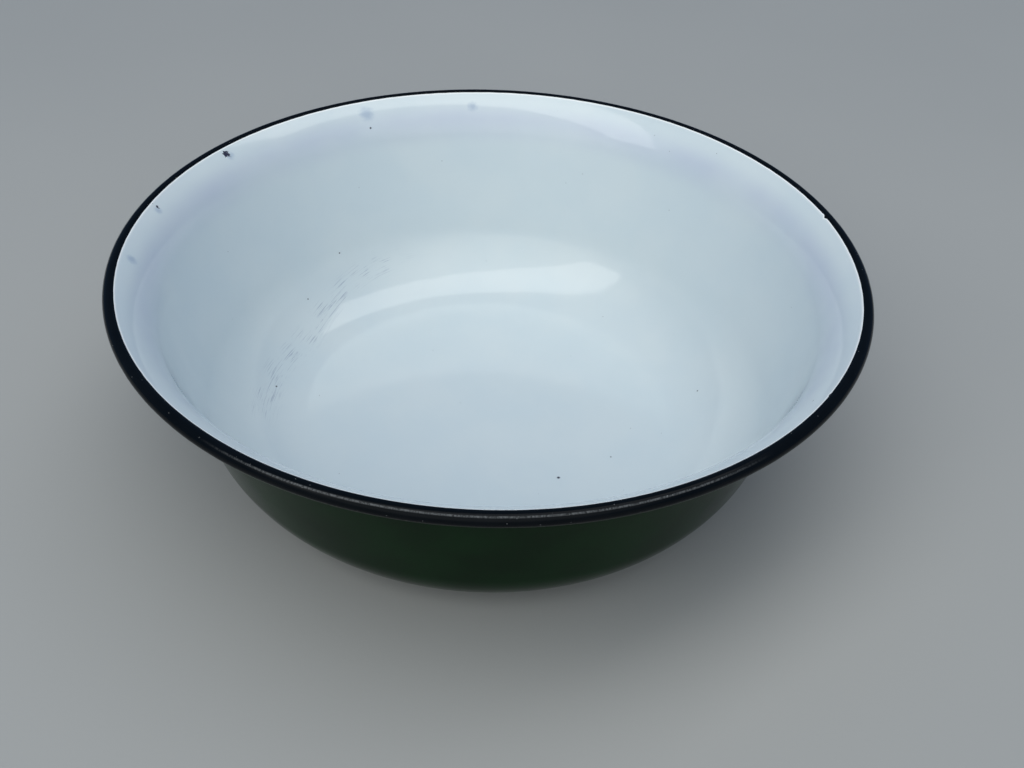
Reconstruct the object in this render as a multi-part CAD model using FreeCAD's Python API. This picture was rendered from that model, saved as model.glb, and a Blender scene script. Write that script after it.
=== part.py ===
import FreeCAD, Part
import math
import os

# A round enamelled wash basin.
# One steel pressing has its edge curled over into a bead, and is covered in fused enamel:
# a dark ground coat under white inside and under green outside, and a thick black band round the rim.
# Millimetres and degrees. +Z is up, the origin is under the middle of the foot.
# Every piece is turned about Z from a strip that follows the steel's inner face.

# Driving dimensions
rim_diameter = 360.0            # across the outside of the curled rim, enamel included
overall_height = 111.2          # from the foot to the top of the curled rim
bead_diameter = 6.4             # of the curled rim, enamel included
wall_slope = 74.0               # from the horizontal
foot_corner_radius = 50.4       # of the outer surface, between the foot and the wall
shoulder_radius = 34.5          # of the inner surface, between the wall and the flare
flare_slope = 32.3              # of the short flare that leads to the curled rim
white_flare_length = 1.1        # straight part of the flare that is white inside
black_flare_length = 0.4        # straight part of the flare inside the black band
curl_turn = 290.0               # how far the sheet turns in the curled rim

# Thicknesses
steel_thickness = 0.6
ground_thickness = 0.15
cover_thickness = 0.25          # the white coat and the green coat
band_thickness = ground_thickness + cover_thickness     # the black band lies straight on the steel

# Depths of the layers' faces, measured from the steel's inner face towards the outside
white_face = -ground_thickness - cover_thickness
black_face = -band_thickness
inner_ground_face = -ground_thickness
steel_inner_face = 0.0
steel_outer_face = steel_thickness
outer_ground_face = steel_outer_face + ground_thickness
green_face = outer_ground_face + cover_thickness

# Radii of the steel's inner face
corner_radius = foot_corner_radius - green_face
turn_radius = shoulder_radius + white_face
curl_radius = bead_diameter / 2 + black_face


def station(radius, height, heading):
    """A place on the steel's inner face, and the slope of the sheet there."""
    return {"radius": radius, "height": height, "heading": heading}


def run(start, length):
    """A straight stretch of sheet: its three stations."""
    slope = math.radians(start["heading"])

    def along(distance):
        radius = start["radius"] + distance * math.cos(slope)
        height = start["height"] + distance * math.sin(slope)
        return station(radius, height, start["heading"])

    return {"curved": False, "stations": [start, along(length / 2), along(length)]}


def bend(start, bend_radius, turn):
    """A round stretch of sheet: its three stations. A positive turn steepens the slope."""
    side = math.copysign(bend_radius, turn)
    slope = math.radians(start["heading"])
    centre_radius = start["radius"] - side * math.sin(slope)
    centre_height = start["height"] + side * math.cos(slope)

    def after(angle):
        heading = start["heading"] + angle
        new_slope = math.radians(heading)
        radius = centre_radius + side * math.sin(new_slope)
        height = centre_height - side * math.cos(new_slope)
        return station(radius, height, heading)

    return {"curved": True, "stations": [start, after(turn / 2), after(turn)]}


def end_of(stretch):
    return stretch["stations"][2]


def sheet_stretches():
    """The stretches of the sheet in order, from the axis to the curl's free edge."""
    slope = math.radians(wall_slope)
    flare = math.radians(flare_slope)
    floor_height = green_face
    flare_length = white_flare_length + black_flare_length
    bead_radius = rim_diameter / 2 - bead_diameter / 2
    bead_height = overall_height - bead_diameter / 2

    # From the curled rim back to the top of the wall
    shoulder_top_radius = bead_radius - curl_radius * math.sin(flare) - flare_length * math.cos(flare)
    shoulder_top_height = bead_height + curl_radius * math.cos(flare) - flare_length * math.sin(flare)
    wall_top_radius = shoulder_top_radius - turn_radius * (math.sin(slope) - math.sin(flare))
    wall_top_height = shoulder_top_height - turn_radius * (math.cos(flare) - math.cos(slope))

    # From the top of the wall down to the foot
    wall_foot_height = floor_height + corner_radius * (1 - math.cos(slope))
    wall_length = (wall_top_height - wall_foot_height) / math.sin(slope)
    wall_foot_radius = wall_top_radius - wall_length * math.cos(slope)
    foot_radius = wall_foot_radius - corner_radius * math.sin(slope)

    floor = run(station(0.0, floor_height, 0.0), foot_radius)
    corner = bend(end_of(floor), corner_radius, wall_slope)
    wall = run(end_of(corner), wall_length)
    shoulder = bend(end_of(wall), turn_radius, flare_slope - wall_slope)
    white_flare = run(end_of(shoulder), white_flare_length)
    black_flare = run(end_of(white_flare), black_flare_length)
    curl = bend(end_of(black_flare), curl_radius, -curl_turn)
    edge_cover = run(end_of(curl), ground_thickness)
    return {
        "floor": floor,
        "corner": corner,
        "wall": wall,
        "shoulder": shoulder,
        "white_flare": white_flare,
        "black_flare": black_flare,
        "curl": curl,
        "edge_cover": edge_cover,
    }


stretches = sheet_stretches()
order = list(stretches)


def point_at(place, depth):
    """The point at a depth under a station of the steel's inner face."""
    slope = math.radians(place["heading"])
    radius = place["radius"] + depth * math.sin(slope)
    height = place["height"] - depth * math.cos(slope)
    return FreeCAD.Vector(radius, 0, height)


def edge_along(stretch, depth):
    first, middle, last = [point_at(place, depth) for place in stretch["stations"]]
    if stretch["curved"]:
        return Part.Arc(first, middle, last).toShape()
    return Part.LineSegment(first, last).toShape()


def layer(upper_face, lower_face, first_name, last_name):
    """The ring turned from the strip between two depths, over a run of stretches."""
    chosen = [stretches[name] for name in order[order.index(first_name):order.index(last_name) + 1]]
    start = chosen[0]["stations"][0]
    end = end_of(chosen[-1])
    upper = [edge_along(stretch, upper_face) for stretch in chosen]
    lower = [edge_along(stretch, lower_face) for stretch in reversed(chosen)]
    far_side = Part.LineSegment(point_at(end, upper_face), point_at(end, lower_face)).toShape()
    near_side = Part.LineSegment(point_at(start, lower_face), point_at(start, upper_face)).toShape()
    outline = Part.Wire(upper + [far_side] + lower + [near_side])
    return Part.Face(outline).revolve(FreeCAD.Vector(0, 0, 0), FreeCAD.Vector(0, 0, 1), 360)


def make_steel_shell():
    """The pressing: floor, wall, flare and curled edge in one sheet."""
    return layer(steel_inner_face, steel_outer_face, "floor", "curl")


def make_inner_ground_coat():
    """The coat under the white."""
    return layer(inner_ground_face, steel_inner_face, "floor", "white_flare")


def make_outer_ground_coat():
    """The coat under the green, which also lines the curl and covers the sheet's cut edge."""
    lining = layer(steel_outer_face, outer_ground_face, "floor", "curl")
    cut_edge_cover = layer(steel_inner_face, outer_ground_face, "edge_cover", "edge_cover")
    return lining.fuse(cut_edge_cover).Solids[0]


def make_inner_enamel():
    """The white coat, from the floor to the black band."""
    return layer(white_face, inner_ground_face, "floor", "white_flare")


def make_outer_enamel():
    """The green coat, under the foot, up the wall and under the flare."""
    return layer(outer_ground_face, green_face, "floor", "black_flare")


def make_rim_enamel():
    """The black band over the curled rim, down to the sheet's cut edge."""
    return layer(black_face, steel_inner_face, "black_flare", "edge_cover")


pieces = {
    "steel_shell": make_steel_shell(),
    "inner_ground_coat": make_inner_ground_coat(),
    "outer_ground_coat": make_outer_ground_coat(),
    "inner_enamel": make_inner_enamel(),
    "outer_enamel": make_outer_enamel(),
    "rim_enamel": make_rim_enamel(),
}

os.makedirs("parts", exist_ok=True)
for name, shape in pieces.items():
    shape.exportStep(os.path.join("parts", name + ".step"))
    box = shape.optimalBoundingBox()
    print(name, "is valid:", shape.isValid(), "volume:", round(shape.Volume), "radius:", round(box.XMax, 2),
          "from", round(box.ZMin, 2), "to", round(box.ZMax, 2))
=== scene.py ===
import math

import bpy
import numpy as np
from mathutils import Matrix, Vector


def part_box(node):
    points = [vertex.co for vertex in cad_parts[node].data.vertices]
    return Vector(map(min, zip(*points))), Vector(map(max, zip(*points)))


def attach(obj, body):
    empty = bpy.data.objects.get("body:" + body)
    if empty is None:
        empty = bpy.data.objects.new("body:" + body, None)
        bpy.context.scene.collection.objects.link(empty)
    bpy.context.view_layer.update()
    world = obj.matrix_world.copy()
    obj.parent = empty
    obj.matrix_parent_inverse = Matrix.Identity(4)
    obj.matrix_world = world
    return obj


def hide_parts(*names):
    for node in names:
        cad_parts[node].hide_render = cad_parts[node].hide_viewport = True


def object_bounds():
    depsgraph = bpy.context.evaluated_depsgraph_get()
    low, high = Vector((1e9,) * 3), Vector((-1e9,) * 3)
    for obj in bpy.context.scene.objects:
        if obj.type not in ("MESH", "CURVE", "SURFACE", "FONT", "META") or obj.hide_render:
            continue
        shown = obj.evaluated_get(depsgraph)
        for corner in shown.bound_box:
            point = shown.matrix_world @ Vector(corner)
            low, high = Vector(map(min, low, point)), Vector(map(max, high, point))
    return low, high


# A round enamelled wash basin: white inside, dark green outside, with a black band over the curled rim.
# Metres and radians. The three enamel coats are rebuilt here as fine closed shells round the steel sheet,
# with the sheet's own profile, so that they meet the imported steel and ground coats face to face.

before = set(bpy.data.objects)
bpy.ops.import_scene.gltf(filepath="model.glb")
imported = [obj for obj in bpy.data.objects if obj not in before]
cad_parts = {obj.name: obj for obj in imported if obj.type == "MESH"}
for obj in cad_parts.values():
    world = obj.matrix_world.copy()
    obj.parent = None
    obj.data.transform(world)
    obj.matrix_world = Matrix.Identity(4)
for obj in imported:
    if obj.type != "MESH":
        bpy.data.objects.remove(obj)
cad_low, cad_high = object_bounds()

# ------------------------------------------------------------------------------------------------
# Sizes
# ------------------------------------------------------------------------------------------------
MM = 0.001

# From the frame
rim_low, rim_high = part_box("rim_enamel")
rim_radius = rim_high.x
overall_height = rim_high.z
bead_radius = (rim_high.z - rim_low.z) / 2
cover_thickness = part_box("outer_ground_coat")[0].z
ground_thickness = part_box("steel_shell")[0].z - cover_thickness
steel_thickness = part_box("inner_ground_coat")[0].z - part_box("steel_shell")[0].z

# The sheet's shape
wall_slope = math.radians(74.0)
foot_corner_radius = 50.4 * MM          # of the outer surface
shoulder_radius = 34.5 * MM             # of the inner surface
flare_slope = math.radians(32.3)
white_flare_length = 1.1 * MM
black_flare_length = 0.4 * MM
curl_turn = math.radians(290.0)

# Depths of the coats' faces, measured from the steel's inner face towards the outside
white_depth = -ground_thickness - cover_thickness
ground_depth = -ground_thickness
lining_depth = steel_thickness + ground_thickness
green_depth = lining_depth + cover_thickness

# How finely the shells are divided
even_columns = 720
fine_column_step = math.radians(0.06)
chip_column_reach = 2.2                 # fine columns reach this many sizes to each side of a chip
notch_column_reach = 3                  # and this many widths to each side of a notch
floor_rows = 24
corner_rows = 40
wall_rows = 22
shoulder_rows = 90
flare_rows = 10
flare_crowding = 1.6                    # above 1, the rows crowd together towards the black band
curl_rows = 48
hidden_share = 3                        # hidden faces have this many times fewer rows
sharp_angle = math.radians(40)

# Unevenness of the fired glass
white_ripple = 0.018 * MM
ripple_fade_radius = 20 * MM            # the white ripple fades out towards the axis inside this
bead_ripple = 0.030 * MM
green_ripple = 0.020 * MM
foot_margin = 2 * MM                    # the green is even under the foot and this far beyond it
lip_height = 0.07 * MM                  # of the white glass heaped up beside the black band
lip_width = 0.45 * MM
edge_highlight_width = 0.72 * MM                # painted highlight: the white is painted brighter this near to the black band
edge_highlight_strength = 1.6                   # above 1, full white reaches out from the very edge
band_bulge = 0.06 * MM                  # of the black band's thick inner edge
band_bulge_width = 0.5 * MM
bead_ripple_start = 2 * MM              # the bead's ripple grows over this distance from the band's edge
slow_edge_wave = 0.07 * MM              # of the black band's inner edge
quick_edge_wave = 0.03 * MM


# Marks of use, on the white face
def mark(degrees, radius, size, depth=0.0):
    """A mark, at an angle from +X towards +Y and a distance from the axis. All but the angle are in mm."""
    return {"angle": math.radians(degrees), "radius": radius * MM, "size": size * MM, "depth": depth * MM}


CHIPS = [
    mark(148.4, 171.6, 1.90, depth=0.20),
    mark(169.4, 171.6, 0.85, depth=0.14),
]
chip_raggedness = 0.35
chip_steepness = 3.0                    # a chip reaches its full depth over one third of its size
chip_depth_reach = 3                    # a chip's depth holds within this many sizes of its middle
brim_from = 90 * MM                     # chips are only above this height
PINHOLES = [                            # the plainest of them
    mark(-50, 58, 1.10),
    mark(130, 143, 0.65),
    mark(117, 163, 0.75),
    mark(143, 135, 0.55),
    mark(172, 118, 0.75),
    mark(11, 119, 0.60),
    mark(-23, 71, 0.55),
]
THIN_SPOTS = [                          # where the dark coat shows through as a pale blue cloud
    mark(117, 168.5, 8.0),
    mark(95, 167.5, 5.5),
    mark(-175, 170, 5.0),
    mark(148, 170.5, 5.0),
    mark(170, 170.5, 4.0),
]

# Small irregularities of the band's inner edge. A positive step makes the band narrower.
NOTCHES = [
    {"angle": math.radians(14.0), "width": math.radians(0.30), "step": 0.26 * MM},
    {"angle": math.radians(13.1), "width": math.radians(0.35), "step": -0.75 * MM},
    {"angle": math.radians(-36.5), "width": math.radians(0.30), "step": -0.40 * MM},
]


# ------------------------------------------------------------------------------------------------
# The sheet's profile: arrays of stations, each a radius, a height and a slope
# ------------------------------------------------------------------------------------------------
def straight(start, length, rows):
    radius, height, slope = start
    along = np.linspace(0, length, rows + 1)
    slopes = np.full(rows + 1, slope)
    return np.stack([radius + along * np.cos(slope), height + along * np.sin(slope), slopes], axis=1)


def rounded(start, bend_radius, turn, rows):
    """A bend of the sheet. A positive turn steepens the slope."""
    radius, height, slope = start
    side = math.copysign(bend_radius, turn)
    slopes = slope + np.linspace(0, turn, rows + 1)
    centre_radius = radius - side * math.sin(slope)
    centre_height = height + side * math.cos(slope)
    radii = centre_radius + side * np.sin(slopes)
    heights = centre_height - side * np.cos(slopes)
    return np.stack([radii, heights, slopes], axis=1)


def sheet_profile(share):
    """The stretches of the steel's inner face, from the axis outwards, with rows divided by a share."""
    corner_radius = foot_corner_radius - green_depth
    turn_radius = shoulder_radius + white_depth
    curl_radius = bead_radius + white_depth
    flare_length = white_flare_length + black_flare_length
    bead_place = rim_radius - bead_radius
    bead_height = overall_height - bead_radius

    flare_top_radius = bead_place - curl_radius * math.sin(flare_slope)
    flare_top_height = bead_height + curl_radius * math.cos(flare_slope)
    shoulder_top_radius = flare_top_radius - flare_length * math.cos(flare_slope)
    shoulder_top_height = flare_top_height - flare_length * math.sin(flare_slope)
    wall_top_radius = shoulder_top_radius - turn_radius * (math.sin(wall_slope) - math.sin(flare_slope))
    wall_top_height = shoulder_top_height - turn_radius * (math.cos(flare_slope) - math.cos(wall_slope))
    wall_foot_height = green_depth + corner_radius * (1 - math.cos(wall_slope))
    wall_length = (wall_top_height - wall_foot_height) / math.sin(wall_slope)
    wall_foot_radius = wall_top_radius - wall_length * math.cos(wall_slope)
    floor_length = wall_foot_radius - corner_radius * math.sin(wall_slope)

    floor = straight((0.0, green_depth, 0.0), floor_length, floor_rows // share)
    corner = rounded(floor[-1], corner_radius, wall_slope, corner_rows // share)
    wall = straight(corner[-1], wall_length, wall_rows // share)
    shoulder = rounded(wall[-1], turn_radius, flare_slope - wall_slope, shoulder_rows // share)
    white_flare = straight(shoulder[-1], white_flare_length, flare_rows // share)
    black_flare = straight(white_flare[-1], black_flare_length, 1)
    curl = rounded(black_flare[-1], curl_radius, -curl_turn, curl_rows // share)
    edge_cover = straight(curl[-1], ground_thickness, 1)
    return {
        "floor": floor,
        "corner": corner,
        "wall": wall,
        "shoulder": shoulder,
        "white_flare": white_flare,
        "black_flare": black_flare,
        "curl": curl,
        "edge_cover": edge_cover,
    }


fine_sheet = sheet_profile(1)
coarse_sheet = sheet_profile(hidden_share)
foot_radius = fine_sheet["floor"][-1][0]


def stations(sheet, first, last):
    """One array of stations from stretch first to stretch last, with no station twice."""
    names = list(sheet)
    chosen = names[names.index(first):names.index(last) + 1]
    return np.vstack([sheet[chosen[0]]] + [sheet[name][1:] for name in chosen[1:]])


def white_height(radius):
    """Height of the white face at a distance from the axis."""
    face = stations(fine_sheet, "floor", "white_flare")
    face_radius = face[:, 0] + white_depth * np.sin(face[:, 2])
    face_height = face[:, 1] - white_depth * np.cos(face[:, 2])
    return float(np.interp(radius, face_radius, face_height))


# ------------------------------------------------------------------------------------------------
# Columns round the axis, shared by all the shells so that their faces meet
# ------------------------------------------------------------------------------------------------
def fine_columns(angle, reach):
    return list(np.arange(angle - reach, angle + reach, fine_column_step))


def column_angles():
    """Even columns, with finer ones at the chips and at the notches in the band's edge."""
    angles = list(np.arange(even_columns) * math.tau / even_columns)
    for chip in CHIPS:
        angles += fine_columns(chip["angle"], chip_column_reach * chip["size"] / chip["radius"])
    for notch in NOTCHES:
        angles += fine_columns(notch["angle"], notch_column_reach * notch["width"])
    angles = np.sort(np.mod(angles, math.tau))
    gap_before = np.diff(angles, prepend=angles[-1] - math.tau)
    return angles[gap_before > fine_column_step / 3]


columns = column_angles()


def plan(radius):
    """X and Y of points at distances from the axis, given per column."""
    return radius * np.cos(columns)[:, None], radius * np.sin(columns)[:, None]


def wander(seed, count, lowest, highest):
    """A smooth irregular wave round the rim, about -1 to 1, of whole waves so that it closes."""
    source = np.random.default_rng(seed)
    waves = source.integers(lowest, highest, count)
    phases = source.uniform(0, math.tau, count)
    total = sum(np.cos(wave * columns + phase) for wave, phase in zip(waves, phases))
    return total / math.sqrt(count)


def ripple(seed, radius, height, shortest, longest):
    """Smooth unevenness, mostly -1 to 1, at places round the axis: a sum of plane waves."""
    source = np.random.default_rng(seed)
    x, y = plan(radius)
    total = np.zeros_like(x)
    wave_count = 28
    for _ in range(wave_count):
        direction = source.normal(size=3)
        direction /= np.linalg.norm(direction)
        pitch = source.uniform(shortest, longest)
        phase = source.uniform(0, math.tau)
        along = direction[0] * x + direction[1] * y + direction[2] * height
        total += np.cos(math.tau * along / pitch + phase)
    return total / math.sqrt(wave_count)


def from_none_to_one(wave):
    """A wave of -1 to 1 moved to 0 to 1."""
    return 0.5 + 0.5 * np.clip(wave, -1, 1)


def band_edge():
    """How far along the flare the black band starts, for each column."""
    edge = white_flare_length + slow_edge_wave * wander(seed=3, count=9, lowest=2, highest=14)
    edge += quick_edge_wave * wander(seed=4, count=14, lowest=40, highest=150)
    for notch in NOTCHES:
        off = (np.mod(columns - notch["angle"] + math.pi, math.tau) - math.pi) / notch["width"]
        edge += notch["step"] * np.exp(-off ** 2)
    return edge


edge_distance = band_edge()


# ------------------------------------------------------------------------------------------------
# Shells
# ------------------------------------------------------------------------------------------------
def face_of(places, depth):
    """Radius and height, per column, of a face at a depth under some stations."""
    radius, height, slope = places[..., 0], places[..., 1], places[..., 2]
    depth = np.broadcast_to(depth, (len(columns), places.shape[-2]))
    return radius + depth * np.sin(slope), height - depth * np.cos(slope)


def along_flare(distances):
    """Stations on the flare at distances from its start, given per column."""
    start_radius, start_height, slope = fine_sheet["white_flare"][0]
    radius = start_radius + distances * math.cos(slope)
    height = start_height + distances * math.sin(slope)
    return np.stack([radius, height, np.full(distances.shape, slope)], axis=-1)


def whole_turn(places):
    """The same stations for every column."""
    return np.broadcast_to(places, (len(columns),) + places.shape)


def steps_between(radius, height):
    """Distance from each point of an outline to the next, per column."""
    return np.hypot(np.diff(radius, axis=1), np.diff(height, axis=1))


def build_shell(name, radius, height, on_axis, attributes=None):
    """A closed shell from an outline per column. With on_axis, the outline starts and ends on the axis."""
    column_count, row_count = radius.shape
    last_row = row_count - 1
    x, y = plan(radius)
    points = np.stack([x, y, height], axis=-1).reshape(-1, 3)
    here = np.arange(column_count) * row_count
    beyond = np.roll(here, -1)
    low = here[:, None] + np.arange(last_row)
    next_low = beyond[:, None] + np.arange(last_row)
    faces = np.stack([low, low + 1, next_low + 1, next_low], axis=-1).reshape(-1, 4).tolist()
    if on_axis:
        first_pole = len(points)
        last_pole = first_pole + 1
        points = np.vstack([points, [0.0, 0.0, height[:, 0].mean()], [0.0, 0.0, height[:, -1].mean()]])
        pairs = list(zip(here.tolist(), beyond.tolist()))
        faces += [[first_pole, a, b] for a, b in pairs]
        faces += [[last_pole, b + last_row, a + last_row] for a, b in pairs]
    else:
        faces += np.stack([here + last_row, here, beyond, beyond + last_row], axis=-1).tolist()
    mesh = bpy.data.meshes.new(name)
    mesh.from_pydata(points.tolist(), [], faces)
    for key, values in (attributes or {}).items():
        filled = np.zeros(len(points))
        filled[:values.size] = values.ravel()
        mesh.attributes.new(key, "FLOAT", "POINT").data.foreach_set("value", filled)
    mesh.validate()
    mesh.shade_smooth()
    mesh.set_sharp_from_angle(angle=sharp_angle)
    piece = bpy.data.objects.new(name, mesh)
    bpy.context.collection.objects.link(piece)
    return piece


def chipped(radius, height):
    """How bare each point is, 1 in a chip and 0 outside its ragged rim, and how deep the dent is there."""
    x, y = plan(radius)
    ragged = 1 + chip_raggedness * ripple(21, radius, height, shortest=0.6 * MM, longest=1.6 * MM)
    on_brim = height > brim_from
    bare = np.zeros_like(x)
    depth = np.zeros_like(x)
    for chip in CHIPS:
        centre_x = chip["radius"] * math.cos(chip["angle"])
        centre_y = chip["radius"] * math.sin(chip["angle"])
        away = np.hypot(x - centre_x, y - centre_y)
        inside = np.clip(chip_steepness * (1 - away / (chip["size"] * ragged)), 0, 1)
        bare = np.maximum(bare, inside * on_brim)
        depth = np.where(on_brim & (away < chip_depth_reach * chip["size"]), chip["depth"], depth)
    return bare, bare * depth


def make_white_coat():
    """The white glass, from the middle of the floor to the wavy edge of the black band."""
    inner = whole_turn(stations(fine_sheet, "floor", "shoulder")[1:])
    spread = 1 - (1 - np.linspace(0, 1, flare_rows + 1)[1:]) ** flare_crowding
    flare = along_flare(edge_distance[:, None] * spread)
    upper = np.concatenate([inner, flare], axis=1)

    radius, height = face_of(upper, white_depth)
    fade_at_middle = np.clip(radius / ripple_fade_radius, 0, 1)
    wave = ripple(5, radius, height, shortest=9 * MM, longest=34 * MM)
    steps = steps_between(radius, height)
    before_edge = np.zeros_like(radius)
    before_edge[:, :-1] = np.cumsum(steps[:, ::-1], axis=1)[:, ::-1]
    heap = np.exp(-((before_edge - lip_width) / lip_width) ** 2)
    bare, dent = chipped(radius, height)
    depth = white_depth + white_ripple * wave * fade_at_middle - lip_height * heap + dent
    upper_radius, upper_height = face_of(upper, depth)

    lower = whole_turn(stations(coarse_sheet, "floor", "shoulder")[1:])
    lower = np.concatenate([lower, along_flare(edge_distance[:, None])], axis=1)[:, ::-1]
    lower_radius, lower_height = face_of(lower, ground_depth)

    radius = np.concatenate([upper_radius, lower_radius], axis=1)
    height = np.concatenate([upper_height, lower_height], axis=1)
    # painted highlight: a brighter white strip along the black band's edge
    edge_highlight = np.clip(edge_highlight_strength * np.exp(-(before_edge / edge_highlight_width) ** 2), 0, 1)
    attributes = {}
    for key, values in (("bare", bare), ("edge_highlight", edge_highlight)):
        attributes[key] = np.zeros_like(radius)
        attributes[key][:, :values.shape[1]] = values
    return build_shell("white_coat", radius, height, on_axis=True, attributes=attributes)


def make_green_coat():
    """The green glass, under the foot, up the wall and under the flare to the curl."""
    inner = whole_turn(stations(coarse_sheet, "floor", "black_flare")[1:])
    inner_radius, inner_height = face_of(inner, lining_depth)

    outer = whole_turn(stations(fine_sheet, "floor", "black_flare")[1:])
    radius, height = face_of(outer, green_depth)
    wave = from_none_to_one(ripple(6, radius, height, shortest=10 * MM, longest=40 * MM))
    under_foot = radius < foot_radius + foot_margin
    depth = green_depth - green_ripple * np.where(under_foot, 0, wave)
    outer_radius, outer_height = face_of(outer, depth)

    radius = np.concatenate([inner_radius, outer_radius[:, ::-1]], axis=1)
    height = np.concatenate([inner_height, outer_height[:, ::-1]], axis=1)
    return build_shell("green_coat", radius, height, on_axis=True)


def make_black_band():
    """The black glass over the curled rim, thick at its inner edge, down to the sheet's cut edge."""
    curl = whole_turn(stations(fine_sheet, "black_flare", "edge_cover")[1:])
    flare_left = white_flare_length + black_flare_length - edge_distance
    start_shares = np.array([0.0, 0.25, 0.5, 0.75])
    start = along_flare(edge_distance[:, None] + flare_left[:, None] * start_shares)
    upper = np.concatenate([start, curl], axis=1)

    radius, height = face_of(upper, white_depth)
    past_edge = np.zeros_like(radius)
    past_edge[:, 1:] = np.cumsum(steps_between(radius, height), axis=1)
    rise = np.exp(-((past_edge - band_bulge_width) / band_bulge_width) ** 2)
    wave = from_none_to_one(ripple(7, radius, height, shortest=5 * MM, longest=18 * MM))
    fade = np.clip(past_edge / bead_ripple_start, 0, 1)
    depth = white_depth - band_bulge * rise + bead_ripple * wave * fade
    upper_radius, upper_height = face_of(upper, depth)

    back = whole_turn(stations(coarse_sheet, "black_flare", "edge_cover")[::-1])
    back_radius, back_height = face_of(back, 0.0)
    step_radius, step_height = face_of(whole_turn(coarse_sheet["white_flare"][-1:]), ground_depth)
    edge_radius, edge_height = face_of(along_flare(edge_distance[:, None]), ground_depth)
    radius = np.concatenate([upper_radius, back_radius, step_radius, edge_radius], axis=1)
    height = np.concatenate([upper_height, back_height, step_height, edge_height], axis=1)
    return build_shell("black_band", radius, height, on_axis=False)


# ------------------------------------------------------------------------------------------------
# Materials
# ------------------------------------------------------------------------------------------------
MIX_FACTOR, MIX_FIRST, MIX_SECOND, MIX_COLOUR = 0, 6, 7, 2      # the Mix node's sockets for colours
NOISE_LOW = 0.3                         # a noise is mostly between these two values
NOISE_HIGH = 0.7
MARK_CORE = 0.35                        # a mark is at its full strength within this share of its size
DOT_CORE = 0.6                          # and a scattered dot within this share


class Nodes:
    """A node tree, with short ways to add nodes. A noise's scale is per metre."""

    def __init__(self, tree):
        self.tree = tree

    def put(self, value, socket):
        """Link a socket to an input, or set the input's own value."""
        if isinstance(value, bpy.types.NodeSocket):
            self.tree.links.new(value, socket)
        else:
            socket.default_value = value

    def add(self, kind, inputs=None, **settings):
        node = self.tree.nodes.new(kind)
        for key, value in settings.items():
            setattr(node, key, value)
        for key, value in (inputs or {}).items():
            self.put(value, node.inputs[key])
        return node

    def maths(self, operation, first, second=0.0):
        return self.add("ShaderNodeMath", {0: first, 1: second}, operation=operation).outputs[0]

    def product(self, first, *others):
        for other in others:
            first = self.maths("MULTIPLY", first, other)
        return first

    def total(self, first, *others):
        for other in others:
            first = self.maths("ADD", first, other)
        return first

    def remap(self, value, low, high, to_low=0.0, to_high=1.0):
        """A value eased from one span to another, and held at its ends."""
        inputs = {"Value": value, "From Min": low, "From Max": high, "To Min": to_low, "To Max": to_high}
        return self.add("ShaderNodeMapRange", inputs, interpolation_type="SMOOTHSTEP").outputs["Result"]

    def spread(self, noise, lowest=0.0, highest=1.0):
        """A noise stretched over two limits."""
        return self.remap(noise, NOISE_LOW, NOISE_HIGH, lowest, highest)

    def window(self, value, low, high, soft):
        """1 between two limits, 0 outside them, with soft ends."""
        rise = self.remap(value, low - soft, low + soft)
        fall = self.remap(value, high - soft, high + soft, 1.0, 0.0)
        return self.product(rise, fall)

    def noise(self, place, scale, detail=2.0, roughness=0.5):
        inputs = {"Vector": place, "Scale": scale, "Detail": detail, "Roughness": roughness}
        return self.add("ShaderNodeTexNoise", inputs).outputs["Fac"]

    def vector(self, x, y, z=0.0):
        return self.add("ShaderNodeCombineXYZ", {"X": x, "Y": y, "Z": z}).outputs[0]

    def mix(self, factor, first, second):
        node = self.add("ShaderNodeMix", data_type="RGBA", clamp_factor=True)
        self.put(factor, node.inputs[MIX_FACTOR])
        for value, index in ((first, MIX_FIRST), (second, MIX_SECOND)):
            self.put((*value, 1.0) if isinstance(value, tuple) else value, node.inputs[index])
        return node.outputs[MIX_COLOUR]


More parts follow.
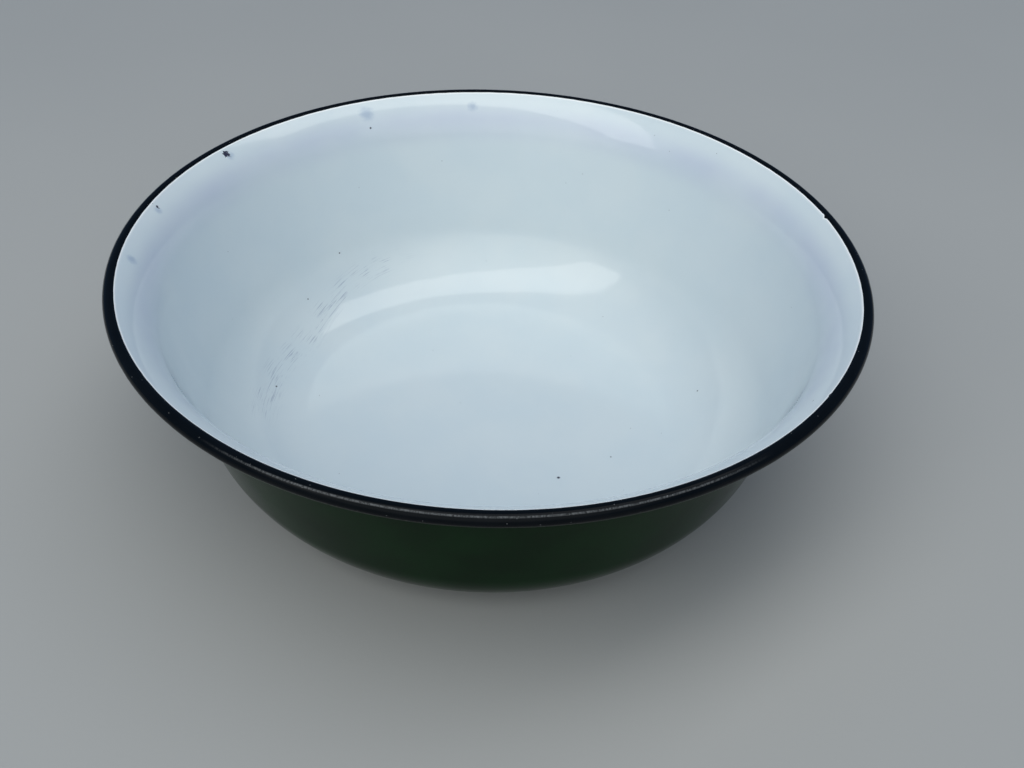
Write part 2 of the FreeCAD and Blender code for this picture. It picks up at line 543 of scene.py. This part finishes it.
class Shading(Nodes):
    """A material's node tree, with the surface's own place and marks."""

    def __init__(self, name):
        self.material = bpy.data.materials.new(name)
        self.material.use_nodes = True
        super().__init__(self.material.node_tree)
        self.shader = self.tree.nodes["Principled BSDF"]
        self.place = self.add("ShaderNodeTexCoord").outputs["Object"]

    def nearness(self, marks, ragged):
        """How near a place is to the nearest of some marks: 1 at its middle, 0 at its size and beyond."""
        nearest = None
        for spot in marks:
            x = spot["radius"] * math.cos(spot["angle"])
            y = spot["radius"] * math.sin(spot["angle"])
            ends = {0: self.place, 1: (x, y, white_height(spot["radius"]))}
            away = self.add("ShaderNodeVectorMath", ends, operation="DISTANCE").outputs["Value"]
            share = self.maths("DIVIDE", away, spot["size"])
            nearest = share if nearest is None else self.maths("MINIMUM", nearest, share)
        return self.remap(self.total(nearest, ragged), MARK_CORE, 1.0, 1.0, 0.0)

    def specks(self, pitch, size):
        """Small scattered dots, 1 inside a dot: places where the surface passes near a random point."""
        inputs = {"Vector": self.place, "Scale": 1 / pitch, "Randomness": 1.0}
        away = self.add("ShaderNodeTexVoronoi", inputs).outputs["Distance"]
        return self.remap(away, DOT_CORE * size / pitch, size / pitch, 1.0, 0.0)

    def attribute(self, name):
        return self.add("ShaderNodeAttribute", attribute_name=name).outputs["Fac"]

    def polar(self):
        """Angle from the left side (-X) towards the front, distance from the axis, and height."""
        x, y, z = self.add("ShaderNodeSeparateXYZ", {0: self.place}).outputs
        angle = self.maths("ARCTAN2", self.product(y, -1.0), self.product(x, -1.0))
        radius = self.maths("SQRT", self.total(self.product(x, x), self.product(y, y)))
        return angle, radius, z

    def bump(self, *heights):
        """Surface detail from the sum of some heights in metres."""
        inputs = {"Height": self.total(*heights), "Distance": 1.0, "Strength": 1.0}
        return self.add("ShaderNodeBump", inputs).outputs["Normal"]

    def finish(self, colour, roughness, normal, **constants):
        self.put(colour, self.shader.inputs["Base Color"])
        self.put(roughness, self.shader.inputs["Roughness"])
        self.put(normal, self.shader.inputs["Normal"])
        for name, value in constants.items():
            self.shader.inputs[name].default_value = value
        return self.material


def paint(piece, material):
    piece.data.materials.clear()
    piece.data.materials.append(material)


GLASS_IOR = 1.5
BLACK_GLOSS = 0.07                      # specular levels, where 0.5 is plain glass
GREEN_GLOSS = 0.05
PIT_DEPTH = 0.06 * MM

WHITE_DARKER = (0.655, 0.735, 0.775)
WHITE_LIGHTER = (0.685, 0.755, 0.785)
WHITE_THIN = (0.50, 0.54, 0.69)
WHITE_EDGE_HIGHLIGHT = (0.93, 0.95, 0.95)
CLOUD_COLOUR = (0.28, 0.38, 0.54)
CLOUD_STRENGTH = 0.50
SCUFF_COLOUR = (0.15, 0.20, 0.34)
SCUFF_STRENGTH = 0.60
BARE_COLOUR = (0.012, 0.014, 0.045)

# The thin coat reaches from the top of the wall to half way out over the shoulder, from the axis
SHOULDER_FROM = fine_sheet["wall"][-1][0]
SHOULDER_TO = 0.5 * (SHOULDER_FROM + fine_sheet["shoulder"][-1][0])
SHOULDER_SOFT = 4 * MM
SHOULDER_LOW = 0.72 * overall_height    # it fades in between these heights
SHOULDER_HIGH = 0.82 * overall_height

# The scuffed band, with angles counted from the left side (-X) towards the front
SCUFF_RADIUS = 128 * MM
STROKE_LENGTH = 20.0 * MM
STROKE_WIDTH = 0.60 * MM
SCUFF_START = math.radians(-66)
SCUFF_RISE_END = math.radians(-24)      # the band comes down the curve from its start to here
SCUFF_END = math.radians(3)
SCUFF_SOFT = 0.12
SCUFF_HIGH = 114.0 * MM                 # its middle, measured up the curve
SCUFF_LOW = 91.0 * MM
SCUFF_SPREAD = 11.0 * MM

BLACK_DARKER = (0.0020, 0.0032, 0.0045)
BLACK_LIGHTER = (0.0045, 0.0060, 0.0085)
GRIT_COLOUR = (0.40, 0.41, 0.41)
GRIT_STRENGTH = 0.8

# The front of the bead, rubbed and scratched in patches that also carry a painted highlight streak, with
# angles counted as for the scuffs, and its height round the bead
WEAR_AND_HIGHLIGHT_START = math.radians(58)
WEAR_AND_HIGHLIGHT_END = math.radians(122)
WEAR_AND_HIGHLIGHT_LOW = math.radians(51)
WEAR_AND_HIGHLIGHT_HIGH = math.radians(64)
WEAR_AND_HIGHLIGHT_LINE_SOFT = 0.07
WEAR_AND_HIGHLIGHT_ENDS_SOFT = 0.12
HIGHLIGHT_STREAK_COLOUR = (0.135, 0.140, 0.145)
HIGHLIGHT_STREAK_STRENGTH = 0.85

GREEN_DARKER = (0.0009, 0.013, 0.0026)
GREEN_LIGHTER = (0.0020, 0.021, 0.0045)
RUBBED_COLOUR = (0.02, 0.022, 0.03)
RUBBED_STRENGTH = 0.8
SCRATCH_AND_REFLECTION_COLOUR = (0.06, 0.10, 0.06)
SCRATCH_AND_REFLECTION_STRENGTH = 0.35
SCRATCH_AND_REFLECTION_STRETCH = (900.0, 130.0, 260.0)
GREEN_PIT_COLOUR = (0.004, 0.004, 0.008)


def scuffs(look, angle, radius, height):
    """Fine dark strokes that run round the left side of the bowl, low on the wall."""
    along = look.product(angle, SCUFF_RADIUS / STROKE_LENGTH)
    up_the_curve = look.product(look.total(radius, height), math.sqrt(0.5))
    middle = look.remap(angle, SCUFF_START, SCUFF_RISE_END, SCUFF_HIGH, SCUFF_LOW)
    off = look.maths("SUBTRACT", up_the_curve, middle)
    across = look.maths("DIVIDE", off, STROKE_WIDTH)
    strokes = look.remap(look.noise(look.vector(along, across), 1.0, roughness=0.6), 0.52, 0.66)
    band = look.remap(look.maths("ABSOLUTE", off), 0.0, SCUFF_SPREAD, 1.0, 0.0)
    ends = look.window(angle, SCUFF_START, SCUFF_END, SCUFF_SOFT)
    patches = look.remap(look.noise(look.place, 90.0, detail=3.0), 0.40, 0.60)
    return look.product(strokes, look.product(band, ends, patches))


def white_enamel():
    look = Shading("white_enamel")
    angle, radius, height = look.polar()
    tone = look.noise(look.place, 24.0, detail=3.0)
    colour = look.mix(look.spread(tone), WHITE_DARKER, WHITE_LIGHTER)

    # The coat is thin and bluish where it bends over the shoulder, and a painted highlight makes it whiter
    # at the black band
    shoulder = look.window(radius, SHOULDER_FROM, SHOULDER_TO, SHOULDER_SOFT)
    shoulder = look.product(shoulder, look.remap(height, SHOULDER_LOW, SHOULDER_HIGH))
    patchy = look.remap(look.noise(look.place, 20.0), 0.3, 0.75, 0.22, 0.52)
    colour = look.mix(look.product(shoulder, patchy), colour, WHITE_THIN)
    # painted highlight beside the black band
    colour = look.mix(look.attribute("edge_highlight"), colour, WHITE_EDGE_HIGHLIGHT)

    cloud = look.nearness(THIN_SPOTS, ragged=look.product(look.noise(look.place, 420.0, detail=3.0), 0.5))
    colour = look.mix(look.product(cloud, CLOUD_STRENGTH), colour, CLOUD_COLOUR)
    rubbed = scuffs(look, angle, radius, height)
    colour = look.mix(look.product(rubbed, SCUFF_STRENGTH), colour, SCUFF_COLOUR)

    ragged = look.product(look.maths("SUBTRACT", look.noise(look.place, 900.0), 0.5), 0.5)
    dots = look.specks(pitch=11 * MM, size=0.24 * MM)
    holes = look.maths("MAXIMUM", look.nearness(PINHOLES, ragged), dots)
    dark = look.maths("MAXIMUM", holes, look.remap(look.attribute("bare"), 0.25, 0.6))
    colour = look.mix(dark, colour, BARE_COLOUR)

    # Orange peel, pits and the strokes' own grooves and roughness
    peel = look.product(look.noise(look.place, 260.0), 0.009 * MM)
    pits = look.product(holes, -PIT_DEPTH)
    grooves = look.product(rubbed, -0.004 * MM)
    normal = look.bump(peel, pits, grooves)
    roughness = look.spread(look.noise(look.place, 60.0, detail=3.0), 0.06, 0.10)
    roughness = look.total(roughness, look.product(rubbed, 0.25), look.product(dark, 0.30))
    return look.finish(colour, roughness, normal, IOR=GLASS_IOR)


def black_enamel():
    look = Shading("black_enamel")
    angle, radius, height = look.polar()
    tone = look.noise(look.place, 70.0, detail=3.0)
    colour = look.mix(tone, BLACK_DARKER, BLACK_LIGHTER)

    # The front of the bead is rubbed rough in patches, which also carry a painted grey highlight streak,
    # and grit is fused into all of it
    out = look.maths("SUBTRACT", radius, rim_radius - bead_radius)
    up = look.maths("SUBTRACT", height, overall_height - bead_radius)
    round_the_bead = look.maths("ARCTAN2", up, out)
    line = look.window(round_the_bead, WEAR_AND_HIGHLIGHT_LOW, WEAR_AND_HIGHLIGHT_HIGH, WEAR_AND_HIGHLIGHT_LINE_SOFT)
    ends = look.window(angle, WEAR_AND_HIGHLIGHT_START, WEAR_AND_HIGHLIGHT_END, WEAR_AND_HIGHLIGHT_ENDS_SOFT)
    stroke_place = look.vector(look.product(angle, 90.0), round_the_bead)
    strokes = look.remap(look.noise(stroke_place, 2.2, detail=4.0, roughness=0.75), 0.38, 0.60, 0.15, 1.0)
    wear_and_highlight = look.product(line, ends, strokes)
    # painted highlight: a grey streak along the front of the bead, in its rubbed patches
    colour = look.mix(look.product(wear_and_highlight, HIGHLIGHT_STREAK_STRENGTH), colour, HIGHLIGHT_STREAK_COLOUR)
    grit = look.specks(pitch=3.2 * MM, size=0.16 * MM)
    colour = look.mix(look.product(grit, GRIT_STRENGTH), colour, GRIT_COLOUR)

    peel = look.product(look.noise(look.place, 520.0, detail=3.0), 0.014 * MM)
    lumps = look.product(grit, 0.04 * MM)
    scratches = look.product(look.noise(look.place, 2600.0), wear_and_highlight, 0.006 * MM)
    normal = look.bump(peel, lumps, scratches)
    roughness = look.total(look.spread(tone, 0.10, 0.16), look.product(wear_and_highlight, 0.14))
    constants = {"IOR": GLASS_IOR, "Specular IOR Level": BLACK_GLOSS}
    return look.finish(colour, roughness, normal, **constants)


def green_enamel():
    look = Shading("green_enamel")
    angle, radius, height = look.polar()
    tone = look.noise(look.place, 28.0, detail=3.0)
    colour = look.mix(look.spread(tone), GREEN_DARKER, GREEN_LIGHTER)

    # The foot's edge is rubbed where it stands. Above it, pale lines are grit scratches and also a painted
    # reflection of the floor, fading upwards
    contact = look.window(radius, foot_radius - 5 * MM, foot_radius + 4 * MM, 3 * MM)
    contact = look.product(contact, look.remap(height, 0.3 * MM, 1.2 * MM, 1.0, 0.0))
    ring_place = look.vector(look.product(angle, 12.0), look.product(radius, 900.0))
    rings = look.remap(look.noise(ring_place, 1.0, detail=4.0, roughness=0.7), 0.48, 0.66)
    rubbed = look.product(contact, rings)
    colour = look.mix(look.product(rubbed, RUBBED_STRENGTH), colour, RUBBED_COLOUR)
    stretched = look.add("ShaderNodeVectorMath", {0: look.place, 1: SCRATCH_AND_REFLECTION_STRETCH}, operation="MULTIPLY")
    lines = look.remap(look.noise(stretched.outputs[0], 1.0, detail=3.0, roughness=0.6), 0.66, 0.74)
    scratches_and_reflection = look.product(lines, look.remap(height, 8 * MM, 45 * MM, 1.0, 0.0))
    # painted reflection of the floor, with real scratches: pale lines low on the curve
    colour = look.mix(look.product(scratches_and_reflection, SCRATCH_AND_REFLECTION_STRENGTH), colour, SCRATCH_AND_REFLECTION_COLOUR)
    holes = look.specks(pitch=12 * MM, size=0.3 * MM)
    colour = look.mix(holes, colour, GREEN_PIT_COLOUR)

    wear = look.maths("MAXIMUM", rubbed, scratches_and_reflection)
    peel = look.product(look.noise(look.place, 240.0), 0.012 * MM)
    grooves = look.product(wear, -0.008 * MM)
    pits = look.product(holes, -PIT_DEPTH)
    normal = look.bump(peel, grooves, pits)
    roughness = look.spread(look.noise(look.place, 50.0, detail=3.0), 0.10, 0.17)
    roughness = look.total(roughness, look.product(wear, 0.3))
    constants = {"IOR": GLASS_IOR, "Specular IOR Level": GREEN_GLOSS}
    return look.finish(colour, roughness, normal, **constants)


def ground_enamel():
    look = Shading("ground_enamel")
    tone = look.noise(look.place, 200.0, detail=3.0)
    colour = look.mix(tone, (0.008, 0.010, 0.03), (0.014, 0.016, 0.05))
    normal = look.bump(look.product(look.noise(look.place, 900.0), 0.006 * MM))
    return look.finish(colour, look.spread(tone, 0.25, 0.4), normal, IOR=GLASS_IOR)


def pressed_steel():
    look = Shading("pressed_steel")
    angle, radius, height = look.polar()
    grain = look.noise(look.vector(look.product(angle, 4.0), radius, height), 900.0)
    colour = look.mix(grain, (0.36, 0.36, 0.37), (0.48, 0.48, 0.49))
    normal = look.bump(look.product(grain, 0.003 * MM))
    return look.finish(colour, look.spread(grain, 0.3, 0.45), normal, Metallic=1.0)


def floor_finish():
    look = Shading("studio_floor")
    tone = look.noise(look.place, 3.0, detail=4.0)
    colour = look.mix(tone, (0.41, 0.41, 0.40), (0.44, 0.44, 0.43))
    normal = look.bump(look.product(look.noise(look.place, 400.0, detail=3.0), 0.04 * MM))
    return look.finish(colour, look.spread(tone, 0.7, 0.8), normal)


# ------------------------------------------------------------------------------------------------
# Stage, light and camera
# ------------------------------------------------------------------------------------------------
FLOOR_REACH = 6.0
FLOOR_SIDES = 64
FLOOR_GAP = 0.02 * MM                   # the floor is this far under the foot

AMBIENT_COLOUR = (0.07, 0.135, 0.25)
GLOW_COLOUR = (1.15, 1.20, 1.17)
GLOW_AZIMUTH = math.radians(259)
GLOW_ELEVATION = math.radians(43)
GLOW_INNER = math.radians(12)
GLOW_OUTER = math.radians(60)

PANEL_CENTRE = (-0.68, -0.58, 1.70)
PANEL_SIZE = (4.1, 0.86)
PANEL_TURN = math.radians(35)
PANEL_RADIANCE = 1.76                   # in the render's own units
PANEL_COLOUR = (1.0, 1.0, 0.965)

CAMERA_DISTANCE = 2.509 * rim_radius    # in front of the axis
CAMERA_RISE = 1.597 * rim_radius        # above the middle of the bead
CAMERA_YAW = math.radians(1.565)
CAMERA_PITCH = math.radians(39.253)
CAMERA_ROLL = math.radians(2.682)
CAMERA_LENS = 38.67
CAMERA_SENSOR = 36.0


def heading(azimuth, elevation):
    """The direction at an azimuth, counted from +X towards +Y, and an elevation."""
    flat = math.cos(elevation)
    return (flat * math.cos(azimuth), flat * math.sin(azimuth), math.sin(elevation))


def make_stage():
    """A wide round pale floor just under the foot."""
    angles = [math.tau * side / FLOOR_SIDES for side in range(FLOOR_SIDES)]
    corners = [(FLOOR_REACH * math.cos(angle), FLOOR_REACH * math.sin(angle), 0.0) for angle in angles]
    mesh = bpy.data.meshes.new("studio_floor")
    mesh.from_pydata(corners, [], [list(range(FLOOR_SIDES))])
    floor = bpy.data.objects.new("studio_floor", mesh)
    floor.location.z = cad_low.z - FLOOR_GAP
    bpy.context.collection.objects.link(floor)
    paint(floor, floor_finish())


def make_sky():
    """Soft even light, with a wide glow from above and behind the viewer."""
    world = bpy.data.worlds.new("studio_sky")
    bpy.context.scene.world = world
    world.use_nodes = True
    sky = Nodes(world.node_tree)
    towards = {
        0: sky.add("ShaderNodeTexCoord").outputs["Generated"],
        1: heading(GLOW_AZIMUTH, GLOW_ELEVATION),
    }
    facing = sky.add("ShaderNodeVectorMath", towards, operation="DOT_PRODUCT").outputs["Value"]
    glow = sky.remap(facing, math.cos(GLOW_OUTER), math.cos(GLOW_INNER))
    sky.put(sky.mix(glow, AMBIENT_COLOUR, GLOW_COLOUR), sky.tree.nodes["Background"].inputs["Color"])


def make_panel():
    """A level panel overhead that shines straight down."""
    data = bpy.data.lights.new("overhead_softbox", "AREA")
    data.shape = "RECTANGLE"
    data.size, data.size_y = PANEL_SIZE
    data.color = PANEL_COLOUR
    data.energy = PANEL_RADIANCE * math.pi * data.size * data.size_y
    lamp = bpy.data.objects.new("overhead_softbox", data)
    lamp.location = PANEL_CENTRE
    lamp.rotation_euler.z = PANEL_TURN
    bpy.context.collection.objects.link(lamp)


def make_camera():
    """The view from in front and above, slightly turned and tilted."""
    azimuth = math.pi / 2 - CAMERA_YAW
    forward = Vector(heading(azimuth, -CAMERA_PITCH))
    level_right = Vector(heading(azimuth - math.pi / 2, 0.0))
    level_up = level_right.cross(forward)
    right = level_right * math.cos(CAMERA_ROLL) + level_up * math.sin(CAMERA_ROLL)
    up = level_up * math.cos(CAMERA_ROLL) - level_right * math.sin(CAMERA_ROLL)
    data = bpy.data.cameras.new("camera")
    data.sensor_width = CAMERA_SENSOR
    data.lens = CAMERA_LENS
    camera = bpy.data.objects.new("camera", data)
    rotation = Matrix((right, up, -forward)).transposed().to_4x4()
    place = Vector((0.0, -CAMERA_DISTANCE, overall_height - bead_radius + CAMERA_RISE))
    camera.matrix_world = Matrix.Translation(place) @ rotation
    bpy.context.collection.objects.link(camera)
    bpy.context.scene.camera = camera


# ------------------------------------------------------------------------------------------------
# The scene
# ------------------------------------------------------------------------------------------------
def add_coat(piece, node, material):
    paint(piece, material)
    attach(piece, "root")
    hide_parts(node)


add_coat(make_white_coat(), "inner_enamel", white_enamel())
add_coat(make_green_coat(), "outer_enamel", green_enamel())
add_coat(make_black_band(), "rim_enamel", black_enamel())

ground = ground_enamel()
for node in ("inner_ground_coat", "outer_ground_coat"):
    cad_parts[node].material_slots[0].material = ground
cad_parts["steel_shell"].material_slots[0].material = pressed_steel()

make_stage()
make_sky()
make_panel()
make_camera()
bpy.context.scene.view_settings.view_transform = "Standard"
